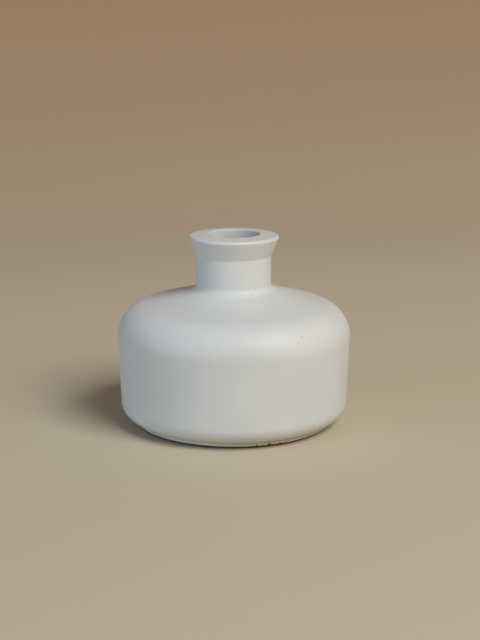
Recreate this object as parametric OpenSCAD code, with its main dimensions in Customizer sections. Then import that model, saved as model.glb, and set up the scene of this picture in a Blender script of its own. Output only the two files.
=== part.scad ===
// Squat cast bottle vase with a collared neck. A hollow cast shell is closed from below by a cast
// base disc, which is bonded into the shell and shows as a low foot. A felt pad is stuck under the
// foot, and a glass tube for the water stands inside and lifts out through the neck.
// Millimetres, +Z up, origin on the axis at the surface that the vase stands on.

/* [Body] */
// Overall height, from the standing surface to the rim
vase_h = 90.6; // [75:0.2:130]
// Widest diameter, at the top of the side
body_d = 110; // [92:1:140]
// How far the side draws in towards the bottom, on the radius
side_taper = 1.5; // [0:0.25:4]
// Rounding from the side into the shoulder
shoulder_round = 15.75; // [10:0.25:20]
// Fall of the shoulder outwards from the neck, in degrees
shoulder_slope = 15.4; // [8:0.2:24]
// Rounding from the side into the underside
bottom_round = 7.8; // [4:0.2:13]
// Wall thickness of the casting
wall = 6; // [4:0.25:9]

/* [Neck and rim] */
// Outer diameter of the neck
neck_d = 35.3; // [30:0.1:44]
// Straight height of the neck, from the shoulder to the collar
neck_h = 15.7; // [10:0.1:24]
// Rounding in the corner between the shoulder and the neck
neck_fillet = 3.6; // [0.6:0.2:5]
// Height of the flared collar, from the neck to the top of the rim
collar_h = 10.2; // [6:0.1:14]
// How far the collar's lip stands out past the neck, on the radius
collar_spread = 3.55; // [2:0.05:6]
// Rounding in the corner between the neck and the collar
collar_fillet = 1; // [0.4:0.2:3]
// Rounding of the lip, from the collar into the rim
lip_round = 1.2; // [0.4:0.1:2]
// Fall of the rim outwards from the mouth, in degrees
rim_slope = 5; // [0:0.5:12]
// Diameter of the mouth and of the bore through the neck
mouth_d = 24.4; // [18:0.1:27]
// Rounding of the mouth's edge
mouth_round = 0.5; // [0.3:0.1:2]

/* [Foot] */
// Height of the foot below the rounded body
foot_h = 2; // [1:0.1:5]
// How far the foot stands in from the side's lower end
foot_inset = 6.8; // [5:0.1:12]
// Rounding of the foot's edges
foot_round = 0.6; // [0.2:0.1:0.9]
// Width of the flat land where the base disc is bonded under the shell
bond_land = 8; // [6:0.25:12]
// Gap around the base disc's plug, filled with the bond
bond_gap = 0.15; // [0.05:0.05:0.5]
// Thickness of the felt pad
pad_t = 1; // [0.6:0.1:3]
// How far the pad stands in from the foot's edge
pad_inset = 1; // [0.5:0.1:4]

/* [Water tube] */
// Gap between the tube and the neck's bore
tube_gap = 1.2; // [0.3:0.05:1.5]
// Wall thickness of the glass
tube_wall = 1.2; // [0.8:0.1:2]
// Thickness of the tube's flat bottom
tube_floor = 2; // [1:0.1:4]
// Rounding of the tube's heel
heel_round = 1.6; // [0.4:0.1:3]
// Depth of the tube's mouth below the rim
tube_drop = 7.6; // [4:0.2:20]
// Depth of the round seat that holds the tube's foot
seat_depth = 2; // [1:0.1:4]
// Gap around the tube's foot in its seat
seat_gap = 0.4; // [0.2:0.05:1]

/* [Hidden] */
$fn = 128;

chalk_white = [0.85, 0.85, 0.83];
felt_brown = [0.21, 0.18, 0.15];
clear_glass = [0.8, 0.89, 0.88, 0.35];

// Smallest rounding inside a corner of the chamber, where the wall takes up the outer one
inner_round = 1;
// How far a rounding's cut runs past its sharp corner, and how far its arc laps the lines
corner_overrun = 0.5;
arc_lap = 0.001;

body_r = body_d / 2;
neck_r = neck_d / 2;
mouth_r = mouth_d / 2;
lip_r = neck_r + collar_spread;
low_r = body_r - side_taper;
foot_r = low_r - foot_inset;
open_r = foot_r - bond_land;
plug_r = open_r - bond_gap;
tube_r = mouth_r - tube_gap;
bore_r = tube_r - tube_wall;

seam_z = pad_t + foot_h;
floor_z = seam_z + wall;
seat_z = floor_z - seat_depth;
tube_top_z = vase_h - tube_drop;
collar_z = vase_h - collar_h;
shoulder_z = collar_z - neck_h;

// The shoulder falls from the neck, and the side rises from the bottom corner to touch the shoulder's
// rounding, whose outermost point is the widest of the body
neck_foot = [neck_r, shoulder_z];
bottom_corner = [low_r, seam_z];
shoulder_centre = under_slope(neck_foot, shoulder_slope, body_r, shoulder_round);
side_angle = touching(bottom_corner, shoulder_centre, shoulder_round);
shoulder_corner = meet(bottom_corner, side_angle, neck_foot, -shoulder_slope);

// The rim falls from the mouth, whose rounding is the highest of the vase, and the collar rises from
// the neck to touch the lip's rounding
collar_foot = [neck_r, collar_z];
mouth_top = [mouth_r + mouth_round, vase_h - mouth_round] + mouth_round * heading(90 - rim_slope);
mouth_edge = meet([mouth_r, 0], 90, mouth_top, -rim_slope);
lip_centre = under_slope(mouth_edge, rim_slope, lip_r, lip_round);
collar_angle = touching(collar_foot, lip_centre, lip_round);
lip_corner = meet(collar_foot, collar_angle, mouth_edge, -rim_slope);

// The lines of the shoulder and the side, set in by the wall
side_inside = bottom_corner + wall * heading(side_angle + 90);
roof_inside = neck_foot + wall * heading(-shoulder_slope - 90);
chamber_corner = meet(side_inside, side_angle, roof_inside, -shoulder_slope);
chamber_foot = meet(side_inside, side_angle, [0, floor_z], 0);
neck_inside = meet([mouth_r, 0], 90, roof_inside, -shoulder_slope);

// Unit vector at an angle from the radial direction
function heading(angle) = [cos(angle), sin(angle)];

// Crossing of the line through p at angle a with the line through q at angle b
function meet(p, a, q, b) = p + heading(a) * cross(q - p, heading(b)) / cross(heading(a), heading(b));

// Centre of a rounding that touches, from below, a line falling outwards from p, and reaches out to r
function under_slope(p, slope, r, round) =
    [r - round, p[1] - (r - round - p[0]) * tan(slope) - round / cos(slope)];

// Angle of the line that rises from p and touches a rounding on its outer side
function touching(p, centre, round) =
    atan2(centre[1] - p[1], centre[0] - p[0]) - asin(round / norm(centre - p));

// A corner of an outline, counted round from the last to the first
function corner(outline, i) = outline[(i + len(outline)) % len(outline)];
function place(outline, i) = [corner(outline, i)[0], corner(outline, i)[1]];

// Unit vector from one corner of an outline to another
function towards(outline, i, j) =
    (place(outline, j) - place(outline, i)) / norm(place(outline, j) - place(outline, i));

// Positive where a counter-clockwise outline turns outwards, negative where it turns in
function turn(outline, i) = cross(towards(outline, i - 1, i), towards(outline, i, i + 1));

// The sliver between a sharp corner and the arc that rounds it. It runs past the corner, and its
// arc laps the two lines by a hair, so that each arc crosses its lines cleanly
module corner_sliver(outline, i) {
    back = towards(outline, i, i - 1);
    ahead = towards(outline, i, i + 1);
    inwards = (back + ahead) / norm(back + ahead);
    half = acos(back * ahead) / 2;
    round = corner(outline, i)[2];
    first = (turn(outline, i) > 0 ? back : ahead) * round / tan(half);
    last = (turn(outline, i) > 0 ? ahead : back) * round / tan(half);
    translate(place(outline, i))
        difference() {
            polygon([first, -inwards * corner_overrun, last]);
            translate(inwards * round / sin(half))
                circle(round + arc_lap);
        }
}

// Closed outline from corners [radius, height, rounding], counter-clockwise
module rounded_outline(outline) {
    rounded = [for (i = [0:len(outline) - 1]) if (outline[i][2] > 0) i];
    difference() {
        union() {
            polygon([for (i = [0:len(outline) - 1]) place(outline, i)]);
            for (i = rounded)
                if (turn(outline, i) < 0)
                    corner_sliver(outline, i);
        }
        for (i = rounded)
            if (turn(outline, i) > 0)
                corner_sliver(outline, i);
    }
}

// Hollow casting: barrel, sloping shoulder, neck and flared collar, open underneath
module jar_shell() {
    color(chalk_white)
        rotate_extrude()
            rounded_outline([
                [open_r, seam_z, 0],
                [low_r, seam_z, bottom_round],
                [shoulder_corner[0], shoulder_corner[1], shoulder_round],
                [neck_r, shoulder_z, neck_fillet],
                [neck_r, collar_z, collar_fillet],
                [lip_corner[0], lip_corner[1], lip_round],
                [mouth_edge[0], mouth_edge[1], mouth_round],
                [mouth_r, neck_inside[1], mouth_round],
                [chamber_corner[0], chamber_corner[1], max(shoulder_round - wall, inner_round)],
                [chamber_foot[0], chamber_foot[1], max(bottom_round - wall, inner_round)],
                [open_r, floor_z, inner_round]
            ]);
}

// Cast disc that closes the shell: a plug in the opening, a foot below and a seat for the tube
module base_disc() {
    color(chalk_white)
        rotate_extrude()
            rounded_outline([
                [0, pad_t, 0],
                [foot_r, pad_t, foot_round],
                [foot_r, seam_z, foot_round],
                [plug_r, seam_z, 0],
                [plug_r, floor_z, inner_round],
                [tube_r + seat_gap, floor_z, foot_round],
                [tube_r + seat_gap, seat_z, 0],
                [0, seat_z, 0]
            ]);
}

// Felt disc stuck under the foot
module felt_pad() {
    color(felt_brown)
        cylinder(h = pad_t, r = foot_r - pad_inset);
}

// Flat-bottomed glass tube with a fire-polished rim, standing in its seat
module water_tube() {
    rim_round = tube_wall * 0.45;
    color(clear_glass)
        rotate_extrude()
            rounded_outline([
                [0, seat_z, 0],
                [tube_r, seat_z, heel_round],
                [tube_r, tube_top_z, rim_round],
                [bore_r, tube_top_z, rim_round],
                [bore_r, seat_z + tube_floor, heel_round],
                [0, seat_z + tube_floor, 0]
            ]);
}

jar_shell();
base_disc();
felt_pad();
water_tube();
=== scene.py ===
"""Looks of the cast bottle vase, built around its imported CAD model. Metres, +Z up."""
import math
import random

import bmesh
import bpy
from mathutils import Euler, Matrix, Vector, geometry, noise
from mathutils.bvhtree import BVHTree


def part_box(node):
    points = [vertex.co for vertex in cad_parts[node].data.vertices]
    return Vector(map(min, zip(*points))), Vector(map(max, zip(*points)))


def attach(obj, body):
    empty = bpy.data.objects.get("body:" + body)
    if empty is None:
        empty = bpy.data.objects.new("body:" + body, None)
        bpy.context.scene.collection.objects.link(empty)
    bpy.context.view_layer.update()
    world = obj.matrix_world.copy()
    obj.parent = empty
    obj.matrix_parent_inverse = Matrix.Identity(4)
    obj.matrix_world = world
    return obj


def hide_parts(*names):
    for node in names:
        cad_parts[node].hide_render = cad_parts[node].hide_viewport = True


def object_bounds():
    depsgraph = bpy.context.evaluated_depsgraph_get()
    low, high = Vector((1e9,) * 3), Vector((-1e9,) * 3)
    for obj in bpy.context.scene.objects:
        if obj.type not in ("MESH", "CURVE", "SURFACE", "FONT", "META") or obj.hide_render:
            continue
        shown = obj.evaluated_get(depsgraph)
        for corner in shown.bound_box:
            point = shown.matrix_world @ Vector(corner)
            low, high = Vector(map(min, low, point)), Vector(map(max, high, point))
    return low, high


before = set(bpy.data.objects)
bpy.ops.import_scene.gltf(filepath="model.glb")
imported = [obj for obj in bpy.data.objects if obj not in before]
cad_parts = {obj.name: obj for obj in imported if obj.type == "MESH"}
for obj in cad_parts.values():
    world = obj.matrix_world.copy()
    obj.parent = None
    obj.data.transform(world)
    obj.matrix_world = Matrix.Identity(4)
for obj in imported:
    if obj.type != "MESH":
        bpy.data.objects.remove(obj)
cad_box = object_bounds()

MM = 0.001

# The photograph's frame in pixels, and where its camera stood
FRAME_W, FRAME_H = 480, 640
FOCAL_PX = 1424
SENSOR_MM = 36
CAMERA_AT = Vector((0.0029, -0.658, 0.2013))
CAMERA_TILT = math.radians(13.035)

# Colours, as linear RGB
CHALK = (0.69, 0.69, 0.66)
CHALK_SHADE = (0.64, 0.645, 0.625)
CHALK_SPECK = (0.58, 0.57, 0.54)
# Painted shade: a deep grey laid into the pits and chips
CHALK_PAINTED_SHADE = (0.40, 0.385, 0.36)
# The foot's chalk: a casting a little darker than the shell's, tinted warm as painted bounce light from the
# floor
FOOT_CHALK_PAINTED_BOUNCE = (0.67, 0.645, 0.59)
FOOT_SHADE_PAINTED_BOUNCE = (0.59, 0.565, 0.51)
FELT = (0.062, 0.036, 0.016)
FELT_FIBRE = (0.165, 0.100, 0.043)
FELT_SHEEN = (1.0, 0.72, 0.45)
GLASS = (0.93, 0.97, 0.965)
PAPER = (0.59, 0.50, 0.37)
# Painted shade: the paper's colour far from the middle, darker and warmer where less light falls
PAPER_PAINTED_FALLOFF = (0.45, 0.275, 0.13)
ROOM_LIGHT = (1.0, 0.80, 0.80)
DAYLIGHT = (0.93, 0.985, 1.0)
COOL_LIGHT = (0.30, 0.645, 1.0)

# Fineness of the turned meshes
SHELL_SEGMENTS = 240
SHELL_STEP = 1.0 * MM
FOOT_SEGMENTS = 720
FOOT_STEP = 0.2 * MM
FOOT_BAND = 2 * MM
INNER_STEP = 4 * MM
TUBE_SEGMENTS = 128
TUBE_STEP = 2 * MM
SHARP_EDGE = math.radians(40)

# Reading a CAD outline: decimals kept of a metre, points that are one ring, and what stays a corner
DECIMALS = 6
SAME_RING = 0.005 * MM
SHARP_CORNER = math.radians(25)

# The casting's slow unevenness: how deep it sinks, and its wavelength
SHELL_SINK, SHELL_WAVE = 0.12 * MM, 24 * MM
FOOT_SINK, FOOT_WAVE = 0.08 * MM, 9 * MM

# Air-bubble pits that the photograph shows, as (pixel x, pixel y, radius), and unseen smaller ones
SHOWN_PITS = ((251, 295, 0.48 * MM), (250, 330.5, 0.37 * MM), (301.5, 337, 0.45 * MM))
SMALL_PITS = 28
SMALL_PIT_RADII = (0.12 * MM, 0.26 * MM)
PIT_SEED = 7
# A small pit's face looks at least this far outwards, or this far up on the upper half
OUTWARD, UPWARD = 0.1, 0.5
# A pit in radii: its depth, how far its mesh is split coarsely and finely, and how far it is pressed
PIT_DEPTH = 0.7
PIT_COARSE, PIT_FINE, PIT_REACH = 3, 1.8, 2
# The power of a pit's bowl, and the cuts to an edge of its mesh
PIT_BOWL = 0.7
PIT_CUTS = 3

# Chips along the foot's lower edge, worst to the right of the front
CHIP_AZIMUTH = math.radians(-65)
CHIP_SPREAD = math.radians(20)
CHIP_SIZE, EDGE_NIBBLE = 1.5 * MM, 0.4 * MM
CHIP_WAVE, CHIP_SEED = 1.9 * MM, 11.1
# Fractal noise as (loss of roughness, step between octaves, octaves)
CHIP_FRACTAL = (0.7, 2.2, 3)
FELT_FRACTAL = (0.8, 2.1, 4)

# Felt: how far its cut edge wanders, how much its face lifts, and the length of its fibres
FELT_CELLS = 120
FELT_EDGE_RINGS = 4
FELT_RAGGED, FELT_LIFT, FELT_WAVE = 0.45 * MM, 0.07 * MM, 1.3 * MM
FELT_EDGE_ROUND = 0.22 * MM

# Materials: sizes of their features, depth of their relief, range of roughness, and reflection
CAST_CLOUD, CAST_RIPPLE, CAST_SPECK, CAST_GRAIN = 30 * MM, 3 * MM, 1.1 * MM, 0.5 * MM
CAST_RELIEF, CAST_ROUGHNESS, CAST_SPECULAR = 0.02 * MM, (0.42, 0.56), 0.38
# The last share is how far the painted shade darkens the pits and chips
GRAIN_SHARE, SPECK_SHARE, PAINTED_SHADE_SHARE = 0.35, 0.4, 0.5
FELT_MAT, FELT_TWIST, FELT_RELIEF = 0.6 * MM, 2.5, 0.15 * MM
FELT_ROUGHNESS, FELT_SPECULAR, FELT_SHEEN_SHARE = (0.88, 1), 0.1, 0.2
GLASS_CLOUD, DRAW_LINE, DRAW_STRETCH = 9 * MM, 2.5 * MM, 0.06
GLASS_RELIEF, GLASS_ROUGHNESS, GLASS_IOR = 0.01 * MM, (0.0, 0.07), 1.47
PAPER_GRAIN, PAPER_RELIEF = 0.8 * MM, 0.02 * MM
PAPER_ROUGHNESS, PAPER_SPECULAR = 0.9, 0.2
# Noise: its detail, and the part of its range that is spread out
SOFT, FINE, MATTED = 1, 3, 6
MIDDLE_PART, WIDE_PART = (0.3, 0.7), (0.2, 0.8)
GRAIN_PART, SPECK_PART = (0.45, 0.75), (0.73, 0.78)
FIBRE_PART, HAZE_PART = (0.35, 0.7), (0.35, 0.8)

# Studio: a round sweep of paper, and lamps as (name, degrees to the right of the camera's side,
# degrees up, distance, size, watts, colour)
FLOOR_R, SWEEP_R, WALL_H = 0.5, 0.9, 1.2
SWEEP_SEGMENTS, SWEEP_RINGS = 96, 24
LAMPS = (
    ("key_lamp", 42, 44, 2.4, 1.3, 49.5, DAYLIGHT),
    ("left_lamp", -60, 12, 2.4, 1.0, 19, COOL_LIGHT),
)
WORLD_STRENGTH = 0.115


def make_camera():
    """Camera at the photograph's place and angle."""
    data = bpy.data.cameras.new("camera")
    data.sensor_width = SENSOR_MM
    data.lens = FOCAL_PX / FRAME_H * SENSOR_MM
    camera = bpy.data.objects.new("camera", data)
    camera.location = CAMERA_AT
    camera.rotation_euler = (math.pi / 2 - CAMERA_TILT, 0, 0)
    bpy.context.collection.objects.link(camera)
    bpy.context.scene.camera = camera


def pixel_ray(x, y):
    """Direction from the camera through a pixel of the photograph."""
    right, up = x - FRAME_W / 2, FRAME_H / 2 - y
    forward = Vector((0, math.cos(CAMERA_TILT), -math.sin(CAMERA_TILT)))
    upward = Vector((0, math.sin(CAMERA_TILT), math.cos(CAMERA_TILT)))
    return (forward * FOCAL_PX + upward * up + Vector((1, 0, 0)) * right).normalized()


def outline_of(node):
    """A turned node's outline as (radius, height) points in order, read off the rings of its mesh."""
    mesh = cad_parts[node].data
    spots = {}
    for v in mesh.vertices:
        spot = (round(math.hypot(v.co.x, v.co.y), DECIMALS), round(v.co.z, DECIMALS))
        spots.setdefault(spot, []).append(v.index)
    rings = []
    ring_of = {}
    for spot, members in spots.items():
        near = [i for i, other in enumerate(rings) if math.dist(spot, other) < SAME_RING]
        if not near:
            near = [len(rings)]
            rings.append(spot)
        ring_of.update(dict.fromkeys(members, near[0]))
    joined = [set() for _ in rings]
    for edge in mesh.edges:
        a, b = (ring_of[i] for i in edge.vertices)
        if a != b:
            joined[a].add(b)
            joined[b].add(a)
    order = [min(range(len(rings)), key=lambda i: (rings[i][1], rings[i][0]))]
    ahead = joined[order[0]]
    while ahead:
        here = rings[order[-1]]
        order.append(min(ahead, key=lambda i: math.dist(rings[i], here)))
        ahead = joined[order[-1]] - set(order)
    return [Vector(rings[i]) for i in order]


def smoothed(points, closed, step_at):
    """The outline with points step_at(point) apart, curved through the given ones but for sharp corners."""
    count = len(points)
    edges = [(points[(i + 1) % count] - points[i]) for i in range(count if closed else count - 1)]

    def heading(at, own):
        """Direction at a point, for the edge that is numbered own."""
        if not closed and at in (0, count - 1):
            return edges[own].normalized()
        before, after = edges[at - 1], edges[at % count]
        smooth = before.angle(after) < SHARP_CORNER
        return (before + after).normalized() if smooth else edges[own].normalized()

    result = []
    for i, edge in enumerate(edges):
        start, end = points[i], points[(i + 1) % count]
        third = edge.length / 3
        pieces = max(1, math.ceil(edge.length / step_at((start + end) / 2)))
        bend = geometry.interpolate_bezier(
            start,
            start + heading(i, i) * third,
            end - heading((i + 1) % count, i) * third,
            end,
            pieces + 1,
        )
        result += bend[:-1]
    return result if closed else result + [points[-1]]


def lathed(outline, closed, segments):
    """Points and faces of an outline turned about +Z."""
    circle = [2 * math.pi * k / segments for k in range(segments)]
    verts = [(p.x * math.cos(a), p.x * math.sin(a), p.y) for p in outline for a in circle]
    count = len(outline)
    faces = []
    for i in range(count if closed else count - 1):
        low, high = i * segments, (i + 1) % count * segments
        for k in range(segments):
            after = (k + 1) % segments
            faces.append((low + k, low + after, high + after, high + k))
    return verts, faces


def turned(name, outline, closed, segments):
    """Object turned about +Z from an outline. An open outline's ends are closed by flat discs."""
    verts, faces = lathed(outline, closed, segments)
    if not closed:
        faces.append(tuple(reversed(range(segments))))
        faces.append(tuple(range(len(verts) - segments, len(verts))))
    return new_object(name, verts, faces)


def new_object(name, verts, faces):
    """Object with a smooth-shaded mesh whose faces look outwards."""
    mesh = bpy.data.meshes.new(name)
    mesh.from_pydata(verts, [], faces)
    made = bpy.data.objects.new(name, mesh)
    bpy.context.collection.objects.link(made)
    with_mesh(made, lambda bm: bmesh.ops.recalc_face_normals(bm, faces=bm.faces))
    return made


def with_mesh(piece, change):
    """Applies a change to the piece's mesh, then sets its smooth and sharp edges."""
    bm = bmesh.new()
    bm.from_mesh(piece.data)
    bm.normal_update()
    change(bm)
    bm.normal_update()
    bm.to_mesh(piece.data)
    bm.free()
    piece.data.shade_smooth()
    piece.data.set_sharp_from_angle(angle=SHARP_EDGE)


def sink(bm, depth, wave):
    """Lets the surface sink by up to depth, in slow waves."""
    for v in bm.verts:
        v.co -= v.normal * depth * (0.5 + 0.5 * noise.noise(v.co / wave))


def faces_out(face):
    """True for a face on the outside of the shell, where a pit can be seen."""
    centre = face.calc_center_median()
    outwards = Vector((centre.x, centre.y, 0)).normalized()
    on_top = centre.z > (cad_box[1].z / 2) and face.normal.z > UPWARD
    return face.normal.dot(outwards) > OUTWARD or on_top


def pit_places(bm):
    """Places of the pits as (centre, normal, radius): the photographed ones, then seeded small ones."""
    tree = BVHTree.FromBMesh(bm)
    places = []
    for x, y, radius in SHOWN_PITS:
        hit, normal, _, _ = tree.ray_cast(CAMERA_AT, pixel_ray(x, y))
        places.append((hit, normal, radius))
    draw = random.Random(PIT_SEED)
    outside = [f for f in bm.faces if faces_out(f)]
    chosen = draw.choices(outside, weights=[f.calc_area() for f in outside], k=SMALL_PITS)
    for face in chosen:
        places.append((face.calc_center_median(), face.normal.copy(), draw.uniform(*SMALL_PIT_RADII)))
    return places


def refine(bm, centre, reach):
    """Splits the faces within reach of a centre."""
    near = [f for f in bm.faces if (f.calc_center_median() - centre).length < reach]
    edges = {e for f in near for e in f.edges}
    bmesh.ops.subdivide_edges(bm, edges=list(edges), cuts=PIT_CUTS, use_grid_fill=True)


def press_pits(bm):
    """Presses small round pits into the surface and marks their hollows, which the material darkens as
    painted shade.
    """
    hollow = bm.verts.layers.float.new("hollow")
    for centre, normal, radius in pit_places(bm):
        refine(bm, centre, PIT_COARSE * radius + SHELL_STEP)
        refine(bm, centre, PIT_FINE * radius)
        for v in bm.verts:
            across = v.co - centre
            if across.length_squared > (PIT_REACH * radius) ** 2:
                continue
            away = (across - normal * across.dot(normal)).length / radius
            if away < 1:
                deep = (1 - away ** 2) ** PIT_BOWL
                v.co -= normal * deep * radius * PIT_DEPTH
                v[hollow] = deep
    # Faces that the splitting left with more than four corners
    bmesh.ops.poke(bm, faces=[f for f in bm.faces if len(f.verts) > 4])


def chip_edge(bm):
    """Breaks away the foot's lower edge in small chips, and marks the broken places, which the material
    darkens as painted shade.
    """
    broken = bm.verts.layers.float.new("hollow")
    low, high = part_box("base_disc")
    inwards_up = math.sqrt(0.5)
    for v in bm.verts:
        radius = math.hypot(v.co.x, v.co.y)
        azimuth = math.atan2(v.co.y, v.co.x)
        from_worst = math.remainder(azimuth - CHIP_AZIMUTH, 2 * math.pi) / CHIP_SPREAD
        size = EDGE_NIBBLE + CHIP_SIZE * math.exp(-from_worst ** 2)
        along = Vector((v.co.x, v.co.y, 0)).normalized() * high.x / CHIP_WAVE
        rough = noise.fractal(along + Vector((0, 0, CHIP_SEED)), *CHIP_FRACTAL)
        chip = size * max(0, rough)
        from_corner = math.hypot(high.x - radius, v.co.z - low.z)
        cut = chip - from_corner
        if cut > 0:
            shrink = 1 - cut * inwards_up / radius
            v.co = Vector((v.co.x * shrink, v.co.y * shrink, v.co.z + cut * inwards_up))
            v[broken] = min(1, cut / EDGE_NIBBLE)


def make_shell():
    """The hollow casting: slowly uneven, with air-bubble pits."""
    outline = smoothed(outline_of("jar_shell"), True, lambda p: SHELL_STEP)
    shell = turned("casting_shell", outline, True, SHELL_SEGMENTS)
    with_mesh(shell, lambda bm: sink(bm, SHELL_SINK, SHELL_WAVE))
    with_mesh(shell, press_pits)
    dress(shell, "jar_shell", "vase", casting_material("casting", CHALK, CHALK_SHADE))


def make_foot():
    """The base disc, with a chipped lower edge on its foot."""
    _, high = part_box("base_disc")
    band = high.x - FOOT_BAND

    def step_at(point):
        return FOOT_STEP if point.x > band else INNER_STEP

    outline = smoothed(outline_of("base_disc"), False, step_at)
    foot = turned("foot_disc", outline, False, FOOT_SEGMENTS)
    with_mesh(foot, lambda bm: sink(bm, FOOT_SINK, FOOT_WAVE))
    with_mesh(foot, chip_edge)
    # The foot's colours carry painted warm bounce light from the floor
    dress(foot, "base_disc", "vase", casting_material("foot", FOOT_CHALK_PAINTED_BOUNCE, FOOT_SHADE_PAINTED_BOUNCE))


def disc_grid(cells):
    """Points of a square grid pressed into a unit circle, row by row."""
    spots = [2 * i / cells - 1 for i in range(cells + 1)]
    return [(u * math.sqrt(1 - v * v / 2), v * math.sqrt(1 - u * u / 2)) for v in spots for u in spots]


def grid_border(cells):
    """Numbers of the points round the border of a square grid."""
    row = cells + 1
    sides = ((0, 1), (cells, row), (row * row - 1, -1), (cells * row, -row))
    return [start + step * i for start, step in sides for i in range(cells)]


def felt_faces(cells, border):
    """Faces of a bottom and a top grid, and of the rings of points that join their borders."""
    row = cells + 1
    top = row * row
    faces = []
    for j in range(cells):
        for i in range(cells):
            a = j * row + i
            quad = (a, a + 1, a + row + 1, a + row)
            faces.append(tuple(reversed(quad)))
            faces.append(tuple(k + top for k in quad))
    count = len(border)
    loops = [border]
    loops += [[2 * top + n * count + k for k in range(count)] for n in range(FELT_EDGE_RINGS)]
    loops += [[i + top for i in border]]
    for below, above in zip(loops, loops[1:]):
        for k in range(count):
            after = (k + 1) % count
            faces.append((below[k], below[after], above[after], above[k]))
    return faces


def make_felt():
    """The felt pad: a cut disc with a ragged edge and an uneven face."""
    low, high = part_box("felt_pad")
    spots = disc_grid(FELT_CELLS)
    border = grid_border(FELT_CELLS)
    radius = high.x - FELT_RAGGED
    flat = radius - FELT_EDGE_ROUND
    shares = [(n + 1) / (FELT_EDGE_RINGS + 1) for n in range(FELT_EDGE_RINGS)]
    levels = [low.z + (high.z - low.z) * share for share in shares]
    verts = [(x * flat, y * flat, z) for z in (low.z, high.z) for x, y in spots]
    verts += [(spots[i][0] * radius, spots[i][1] * radius, z) for z in levels for i in border]
    felt = new_object("felt_under_foot", verts, felt_faces(FELT_CELLS, border))
    with_mesh(felt, lambda bm: roughen_felt(bm, low.z, high.z, flat))
    dress(felt, "felt_pad", "vase", felt_material())


def roughen_felt(bm, bottom, top, flat):
    """Lets the cut edge wander and the underside lift a little, inside the pad's own box."""
    for v in bm.verts:
        radius = math.hypot(v.co.x, v.co.y)
        fuzz = noise.fractal(v.co / FELT_WAVE, *FELT_FRACTAL)
        if radius > flat - FELT_WAVE:
            out = 1 + FELT_RAGGED * max(-1, min(1, fuzz)) / radius
            v.co.x *= out
            v.co.y *= out
        if v.co.z < (bottom + top) / 2:
            v.co.z += FELT_LIFT * max(0, min(1, 0.5 + fuzz))


def make_tube():
    """The glass tube, drawn from its CAD outline."""
    outline = smoothed(outline_of("water_tube"), False, lambda p: TUBE_STEP)
    tube = turned("glass_tube", outline, False, TUBE_SEGMENTS)
    dress(tube, "water_tube", "tube", glass_material())


def dress(piece, node, body, material):
    """Puts a piece in the place of its CAD node, on its body, with its material."""
    piece.data.materials.append(material)
    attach(piece, body)
    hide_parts(node)


def new_material(name):
    """A material, its node tree and its Principled shader."""
    material = bpy.data.materials.new(name)
    material.use_nodes = True
    tree = material.node_tree
    return material, tree, tree.nodes["Principled BSDF"]


def add(tree, kind, inputs, **settings):
    """Adds a shader node. An input is a value, or the socket that feeds it."""
    made = tree.nodes.new("ShaderNode" + kind)
    for key, value in settings.items():
        setattr(made, key, value)
    for key, value in inputs.items():
        if isinstance(value, bpy.types.NodeSocket):
            tree.links.new(value, made.inputs[key])
        else:
            made.inputs[key].default_value = value
    return made


def place_socket(tree):
    """Coordinates of a point on the piece, in metres."""
    return add(tree, "TexCoord", {}).outputs["Object"]


def clouds(tree, place, size, detail=2.0, distortion=0.0):
    """Noise from 0 to 1 whose features are about size across."""
    settings = {"Vector": place, "Scale": 1 / size, "Detail": detail, "Distortion": distortion}
    return add(tree, "TexNoise", settings).outputs[0]


def spread(tree, value, low, high, to_low=0.0, to_high=1.0, kind="LINEAR"):
    """Stretches a value from low..high to another range, cut off at its ends."""
    names = ("Value", "From Min", "From Max", "To Min", "To Max")
    inputs = dict(zip(names, (value, low, high, to_low, to_high)))
    return add(tree, "MapRange", inputs, interpolation_type=kind).outputs[0]


def mixed(tree, share, first, second):
    """Colour between two colours or colour sockets."""
    colours = [c if isinstance(c, bpy.types.NodeSocket) else (*c, 1) for c in (first, second)]
    return add(tree, "Mix", {0: share, 6: colours[0], 7: colours[1]}, data_type="RGBA").outputs[2]


def relief(tree, height, depth):
    """Bump of a given depth from a height between 0 and 1."""
    return add(tree, "Bump", {"Height": height, "Distance": depth}).outputs[0]


def total(tree, first, second):
    """Sum of two values."""
    return add(tree, "Math", {0: first, 1: second}, operation="ADD").outputs[0]


def casting_material(name, colour, shade):
    """Chalky cast gypsum: slow clouds, fine grain, sparse specks, and painted shade in its pits and chips.
    """
    material, tree, shader = new_material(name)
    place = place_socket(tree)
    cloud = spread(tree, clouds(tree, place, CAST_CLOUD, FINE), *MIDDLE_PART)
    grain = clouds(tree, place, CAST_GRAIN, FINE)
    specks = spread(tree, clouds(tree, place, CAST_SPECK, SOFT), *SPECK_PART, to_high=SPECK_SHARE)
    # Marks of the pits and chips, which get painted shade below
    hollow = add(tree, "Attribute", {}, attribute_name="hollow").outputs["Fac"]
    body = mixed(tree, cloud, colour, shade)
    grained = mixed(tree, spread(tree, grain, *GRAIN_PART, to_high=GRAIN_SHARE), body, shade)
    specked = mixed(tree, specks, grained, CHALK_SPECK)
    # Painted shade: the marked pits and chips are darkened towards a deep grey
    shaded_hollows = mixed(tree, spread(tree, hollow, 0, 1, to_high=PAINTED_SHADE_SHARE), specked, CHALK_PAINTED_SHADE)
    tree.links.new(shaded_hollows, shader.inputs["Base Color"])
    tree.links.new(spread(tree, grain, *MIDDLE_PART, *CAST_ROUGHNESS), shader.inputs["Roughness"])
    shader.inputs["Specular IOR Level"].default_value = CAST_SPECULAR
    height = total(tree, grain, spread(tree, clouds(tree, place, CAST_RIPPLE), *WIDE_PART))
    tree.links.new(relief(tree, height, CAST_RELIEF), shader.inputs["Normal"])
    return material


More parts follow.
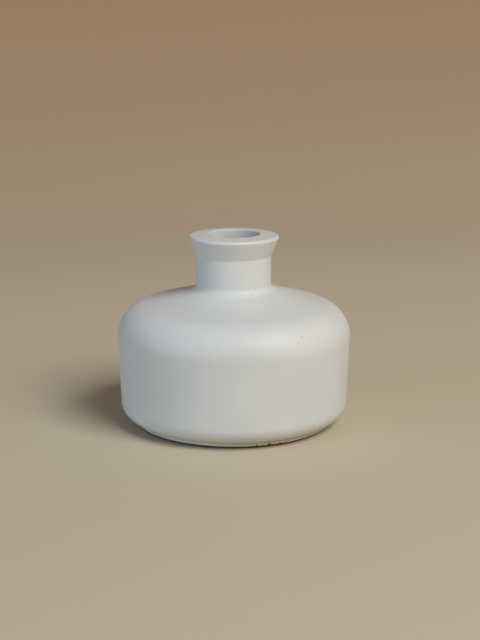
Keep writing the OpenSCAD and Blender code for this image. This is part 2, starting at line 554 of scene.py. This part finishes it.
def felt_material():
    """Dark pressed felt: matted fibres in two tones, with a soft sheen."""
    material, tree, shader = new_material("felt")
    place = place_socket(tree)
    fibres = clouds(tree, place, FELT_MAT, MATTED, FELT_TWIST)
    tones = mixed(tree, spread(tree, fibres, *FIBRE_PART), FELT, FELT_FIBRE)
    tree.links.new(tones, shader.inputs["Base Color"])
    tree.links.new(spread(tree, fibres, *WIDE_PART, *FELT_ROUGHNESS), shader.inputs["Roughness"])
    shader.inputs["Sheen Weight"].default_value = FELT_SHEEN_SHARE
    shader.inputs["Sheen Tint"].default_value = (*FELT_SHEEN, 1)
    shader.inputs["Specular IOR Level"].default_value = FELT_SPECULAR
    tree.links.new(relief(tree, fibres, FELT_RELIEF), shader.inputs["Normal"])
    return material


def glass_material():
    """Clear drawn glass: a faint tint, with slight draw lines along its length."""
    material, tree, shader = new_material("glass")
    place = place_socket(tree)
    stretched = add(tree, "Mapping", {"Vector": place, "Scale": (1, 1, DRAW_STRETCH)}).outputs[0]
    lines = clouds(tree, stretched, DRAW_LINE)
    haze = spread(tree, clouds(tree, place, GLASS_CLOUD, FINE), *HAZE_PART, *GLASS_ROUGHNESS)
    shader.inputs["Base Color"].default_value = (*GLASS, 1)
    shader.inputs["Transmission Weight"].default_value = 1
    shader.inputs["IOR"].default_value = GLASS_IOR
    tree.links.new(haze, shader.inputs["Roughness"])
    tree.links.new(relief(tree, lines, GLASS_RELIEF), shader.inputs["Normal"])
    return material


def paper_material():
    """Plain matt paper of the studio sweep, darker and warmer away from the middle as painted shade."""
    material, tree, shader = new_material("paper")
    place = place_socket(tree)
    away = add(tree, "VectorMath", {0: place}, operation="LENGTH").outputs["Value"]
    # Painted shade: the paper grows darker and warmer away from the middle
    far = spread(tree, away, FLOOR_R / 2, FLOOR_R + SWEEP_R, kind="SMOOTHSTEP")
    tree.links.new(mixed(tree, far, PAPER, PAPER_PAINTED_FALLOFF), shader.inputs["Base Color"])
    grain = clouds(tree, place, PAPER_GRAIN, FINE)
    tree.links.new(relief(tree, grain, PAPER_RELIEF), shader.inputs["Normal"])
    shader.inputs["Roughness"].default_value = PAPER_ROUGHNESS
    shader.inputs["Specular IOR Level"].default_value = PAPER_SPECULAR
    return material


def make_sweep():
    """Round paper sweep: a flat floor that bends up into a wall."""
    bend = [math.pi / 2 * k / SWEEP_RINGS for k in range(SWEEP_RINGS + 1)]
    outline = [Vector((FLOOR_R / 2, 0))]
    outline += [Vector((FLOOR_R + SWEEP_R * math.sin(a), SWEEP_R * (1 - math.cos(a)))) for a in bend]
    outline.append(Vector((FLOOR_R + SWEEP_R, WALL_H)))
    verts, faces = lathed(outline, False, SWEEP_SEGMENTS)
    faces.append(tuple(reversed(range(SWEEP_SEGMENTS))))
    mesh = bpy.data.meshes.new("paper_sweep")
    mesh.from_pydata(verts, [], faces)
    # The paper is seen from inside
    mesh.flip_normals()
    mesh.shade_smooth()
    mesh.materials.append(paper_material())
    sweep = bpy.data.objects.new("paper_sweep", mesh)
    # The lamps stand outside the paper, so it doesn't hold their light back
    sweep.visible_shadow = False
    bpy.context.collection.objects.link(sweep)


def make_lamps():
    """Soft lamps that face the middle of the vase."""
    middle = (cad_box[0] + cad_box[1]) / 2
    for name, azimuth, elevation, distance, size, watts, colour in LAMPS:
        turn = Euler((math.radians(90 - elevation), 0, math.radians(azimuth)))
        data = bpy.data.lights.new(name, "AREA")
        data.size = size
        data.energy = watts
        data.color = colour
        lamp = bpy.data.objects.new(name, data)
        lamp.location = middle + turn.to_matrix() @ Vector((0, 0, distance))
        lamp.rotation_euler = turn
        lamp.visible_camera = False
        bpy.context.collection.objects.link(lamp)


def make_world():
    """Dim light of the room, from all round."""
    world = bpy.data.worlds.new("world")
    world.use_nodes = True
    room = world.node_tree.nodes["Background"]
    room.inputs["Color"].default_value = (*ROOM_LIGHT, 1)
    room.inputs["Strength"].default_value = WORLD_STRENGTH
    bpy.context.scene.world = world


bpy.context.scene.view_settings.view_transform = "Standard"
make_camera()
make_shell()
make_foot()
make_felt()
make_tube()
make_sweep()
make_lamps()
make_world()
